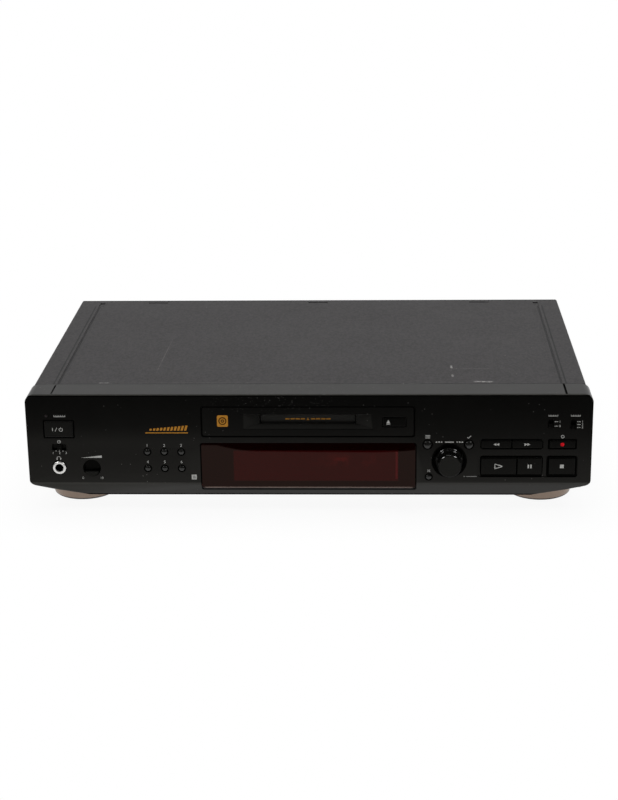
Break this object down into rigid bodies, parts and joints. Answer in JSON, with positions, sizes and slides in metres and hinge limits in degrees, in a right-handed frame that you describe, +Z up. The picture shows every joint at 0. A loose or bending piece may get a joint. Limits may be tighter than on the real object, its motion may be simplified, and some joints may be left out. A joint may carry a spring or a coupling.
{
  "type": "minidisc deck",
  "caption": "Full-width slot-loading disc-cartridge recording deck with display window, jog knob, transport keys, round feet, rear sockets and an inner loading mechanism.",
  "frame": {"origin": "bottom centre of the bounding box, on the surface that the deck stands on", "axes": "+X to the right seen from the front, +Y to the rear, +Z up"},
  "size_m": [0.43, 0.285, 0.095],
  "materials": {
    "cover_paint": "dark grey textured paint",
    "panel_plastic": "black satin moulding",
    "zinc_steel": "zinc plated",
    "smoked_window": "smoked red acrylic",
    "foot_plastic": "champagne satin moulding",
    "pad_rubber": "matt",
    "screw_black": "black zinc",
    "screw_brass": "plated",
    "bright_metal": "polished",
    "lens_red": "translucent red",
    "board": "solder resist on glass laminate",
    "board_brown": "paper laminate",
    "tube_glass": "dark glass tube",
    "core_steel": "varnished laminations",
    "mech_plastic": "dark grey glass-filled moulding",
    "steel_bright": "stamped steel",
    "white_plastic": "acetal",
    "brass": "turned",
    "sled_zinc": "die-cast",
    "socket_metal": "gilt and nickel",
    "socket_black": "matt",
    "cable": "film"
  },
  "bodies": {
    "deck": {"top_cover": "cover_paint", "chassis_base": "zinc_steel", "front_bulkhead": "zinc_steel", "rear_panel": "zinc_steel", "front_panel": "panel_plastic", "slot_panel": "panel_plastic", "display_window": "smoked_window", "feet": "foot_plastic", "foot_pads": "pad_rubber", "case_screws": "screw_black", "inner_screws": "screw_brass", "headphone_jack": "bright_metal", "standby_lens": "lens_red", "front_board": "board", "display_tube": "tube_glass", "main_board": "board", "power_board": "board_brown", "transformer": "core_steel", "mechanism_bracket": "zinc_steel", "mechanism_dampers": "pad_rubber", "mechanism_frame": "mech_plastic", "drive_motors": "steel_bright", "spindle_motor": "steel_bright", "guide_rods": "bright_metal", "phono_sockets": "socket_metal", "optical_sockets": "socket_black", "mains_inlet": "socket_black", "flat_cables": "cable"},
    "power_button": {"power_button": "panel_plastic"},
    "eject_button": {"eject_button": "panel_plastic"},
    "small_button_1": {"small_button_1": "panel_plastic"},
    "small_button_2": {"small_button_2": "panel_plastic"},
    "small_button_3": {"small_button_3": "panel_plastic"},
    "small_button_4": {"small_button_4": "panel_plastic"},
    "small_button_5": {"small_button_5": "panel_plastic"},
    "small_button_6": {"small_button_6": "panel_plastic"},
    "menu_button": {"menu_button": "panel_plastic"},
    "yes_button": {"yes_button": "panel_plastic"},
    "clear_button": {"clear_button": "panel_plastic"},
    "rewind_button": {"rewind_button": "panel_plastic"},
    "forward_button": {"forward_button": "panel_plastic"},
    "record_button": {"record_button": "panel_plastic"},
    "play_button": {"play_button": "panel_plastic"},
    "pause_button": {"pause_button": "panel_plastic"},
    "stop_button": {"stop_button": "panel_plastic"},
    "timer_switch": {"timer_switch": "panel_plastic"},
    "record_mode_switch": {"record_mode_switch": "panel_plastic"},
    "input_switch": {"input_switch": "panel_plastic"},
    "jog_plunger": {"jog_plunger": "white_plastic"},
    "jog_knob": {"jog_knob": "panel_plastic"},
    "phone_level_knob": {"phone_level_knob": "panel_plastic"},
    "slot_flap": {"slot_flap": "panel_plastic"},
    "load_cam": {"load_cam": "white_plastic"},
    "cartridge_holder": {"cartridge_holder": "steel_bright"},
    "load_gear": {"load_gear": "white_plastic"},
    "load_pinion": {"load_pinion": "brass"},
    "turntable": {"turntable": "mech_plastic"},
    "optical_pickup": {"optical_pickup": "sled_zinc"},
    "lead_screw": {"lead_screw": "brass"},
    "record_head_arm": {"record_head_arm": "steel_bright"}
  },
  "joints": [
    {"name": "power_button_press", "type": "slide", "parent": "deck", "child": "power_button", "axis": [0, 1, 0], "range_m": [0, 0.0006], "stiffness_N_per_m": 800, "springref_m": -0.0005},
    {"name": "eject_button_press", "type": "slide", "parent": "deck", "child": "eject_button", "axis": [0, 1, 0], "range_m": [0, 0.0006], "stiffness_N_per_m": 800, "springref_m": -0.0005},
    {"name": "small_button_1_press", "type": "slide", "parent": "deck", "child": "small_button_1", "axis": [0, 1, 0], "range_m": [0, 0.0006], "stiffness_N_per_m": 800, "springref_m": -0.0005},
    {"name": "small_button_2_press", "type": "slide", "parent": "deck", "child": "small_button_2", "axis": [0, 1, 0], "range_m": [0, 0.0006], "stiffness_N_per_m": 800, "springref_m": -0.0005},
    {"name": "small_button_3_press", "type": "slide", "parent": "deck", "child": "small_button_3", "axis": [0, 1, 0], "range_m": [0, 0.0006], "stiffness_N_per_m": 800, "springref_m": -0.0005},
    {"name": "small_button_4_press", "type": "slide", "parent": "deck", "child": "small_button_4", "axis": [0, 1, 0], "range_m": [0, 0.0006], "stiffness_N_per_m": 800, "springref_m": -0.0005},
    {"name": "small_button_5_press", "type": "slide", "parent": "deck", "child": "small_button_5", "axis": [0, 1, 0], "range_m": [0, 0.0006], "stiffness_N_per_m": 800, "springref_m": -0.0005},
    {"name": "small_button_6_press", "type": "slide", "parent": "deck", "child": "small_button_6", "axis": [0, 1, 0], "range_m": [0, 0.0006], "stiffness_N_per_m": 800, "springref_m": -0.0005},
    {"name": "menu_button_press", "type": "slide", "parent": "deck", "child": "menu_button", "axis": [0, 1, 0], "range_m": [0, 0.0006], "stiffness_N_per_m": 800, "springref_m": -0.0005},
    {"name": "yes_button_press", "type": "slide", "parent": "deck", "child": "yes_button", "axis": [0, 1, 0], "range_m": [0, 0.0006], "stiffness_N_per_m": 800, "springref_m": -0.0005},
    {"name": "clear_button_press", "type": "slide", "parent": "deck", "child": "clear_button", "axis": [0, 1, 0], "range_m": [0, 0.0006], "stiffness_N_per_m": 800, "springref_m": -0.0005},
    {"name": "rewind_button_press", "type": "slide", "parent": "deck", "child": "rewind_button", "axis": [0, 1, 0], "range_m": [0, 0.0006], "stiffness_N_per_m": 800, "springref_m": -0.0005},
    {"name": "forward_button_press", "type": "slide", "parent": "deck", "child": "forward_button", "axis": [0, 1, 0], "range_m": [0, 0.0006], "stiffness_N_per_m": 800, "springref_m": -0.0005},
    {"name": "record_button_press", "type": "slide", "parent": "deck", "child": "record_button", "axis": [0, 1, 0], "range_m": [0, 0.0006], "stiffness_N_per_m": 800, "springref_m": -0.0005},
    {"name": "play_button_press", "type": "slide", "parent": "deck", "child": "play_button", "axis": [0, 1, 0], "range_m": [0, 0.0006], "stiffness_N_per_m": 800, "springref_m": -0.0005},
    {"name": "pause_button_press", "type": "slide", "parent": "deck", "child": "pause_button", "axis": [0, 1, 0], "range_m": [0, 0.0006], "stiffness_N_per_m": 800, "springref_m": -0.0005},
    {"name": "stop_button_press", "type": "slide", "parent": "deck", "child": "stop_button", "axis": [0, 1, 0], "range_m": [0, 0.0006], "stiffness_N_per_m": 800, "springref_m": -0.0005},
    {"name": "timer_slide", "type": "slide", "parent": "deck", "child": "timer_switch", "axis": [1, 0, 0], "range_m": [-0.0032, 0.0032]},
    {"name": "record_mode_slide", "type": "slide", "parent": "deck", "child": "record_mode_switch", "axis": [0, 0, 1], "range_m": [0, 0.0034]},
    {"name": "input_slide", "type": "slide", "parent": "deck", "child": "input_switch", "axis": [0, 0, 1], "range_m": [0, 0.0044]},
    {"name": "jog_press", "type": "slide", "parent": "deck", "child": "jog_plunger", "axis": [0, 1, 0], "range_m": [0, 0.0006], "stiffness_N_per_m": 1500, "springref_m": -0.0005},
    {"name": "jog_turn", "type": "hinge", "parent": "jog_plunger", "child": "jog_knob", "pos_m": [0.1073, -0.1299, 0.0418], "axis": [0, -1, 0], "continuous": true},
    {"name": "phone_level_turn", "type": "hinge", "parent": "deck", "child": "phone_level_knob", "pos_m": [-0.1662, -0.1299, 0.0358], "axis": [0, -1, 0], "range_deg": [-140, 140]},
    {"name": "slot_flap_swing", "type": "hinge", "parent": "deck", "child": "slot_flap", "pos_m": [0, -0.1235, 0.0791], "axis": [1, 0, 0], "range_deg": [0, 80], "stiffness_Nm_per_rad": 0.002, "springref_deg": -17.19},
    {"name": "load_slide", "type": "slide", "parent": "deck", "child": "load_cam", "axis": [0, 1, 0], "range_m": [0, 0.014]},
    {"name": "holder_sink", "type": "slide", "parent": "deck", "child": "cartridge_holder", "axis": [0, 0, -1], "range_m": [0, 0.007]},
    {"name": "load_gear_turn", "type": "hinge", "parent": "deck", "child": "load_gear", "pos_m": [-0.03328, -0.0289, 0.056], "axis": [0, 0, 1], "range_deg": [-140, 0]},
    {"name": "load_pinion_turn", "type": "hinge", "parent": "deck", "child": "load_pinion", "pos_m": [-0.02466, -0.0289, 0.056], "axis": [0, 0, 1], "range_deg": [0, 330]},
    {"name": "turntable_spin", "type": "hinge", "parent": "deck", "child": "turntable", "pos_m": [0, -0.0779, 0.0575], "axis": [0, 0, 1], "continuous": true},
    {"name": "pickup_slide", "type": "slide", "parent": "deck", "child": "optical_pickup", "axis": [1, 0, 0], "range_m": [0, 0.017]},
    {"name": "lead_screw_turn", "type": "hinge", "parent": "deck", "child": "lead_screw", "pos_m": [0, -0.0559, 0.0601], "axis": [1, 0, 0], "range_deg": [0, 3100]},
    {"name": "head_arm_lower", "type": "hinge", "parent": "optical_pickup", "child": "record_head_arm", "pos_m": [0.0426, -0.0779, 0.0813], "axis": [0, -1, 0], "range_deg": [0, 24]}
  ],
  "couplings": [
    {"joint": "holder_sink", "follows": "load_slide", "ratio": 0.5},
    {"joint": "load_gear_turn", "follows": "load_slide", "rad_per_m": -166.67},
    {"joint": "load_pinion_turn", "follows": "load_slide", "rad_per_m": 400},
    {"joint": "lead_screw_turn", "follows": "pickup_slide", "rad_per_m": 3141.6}
  ]
}
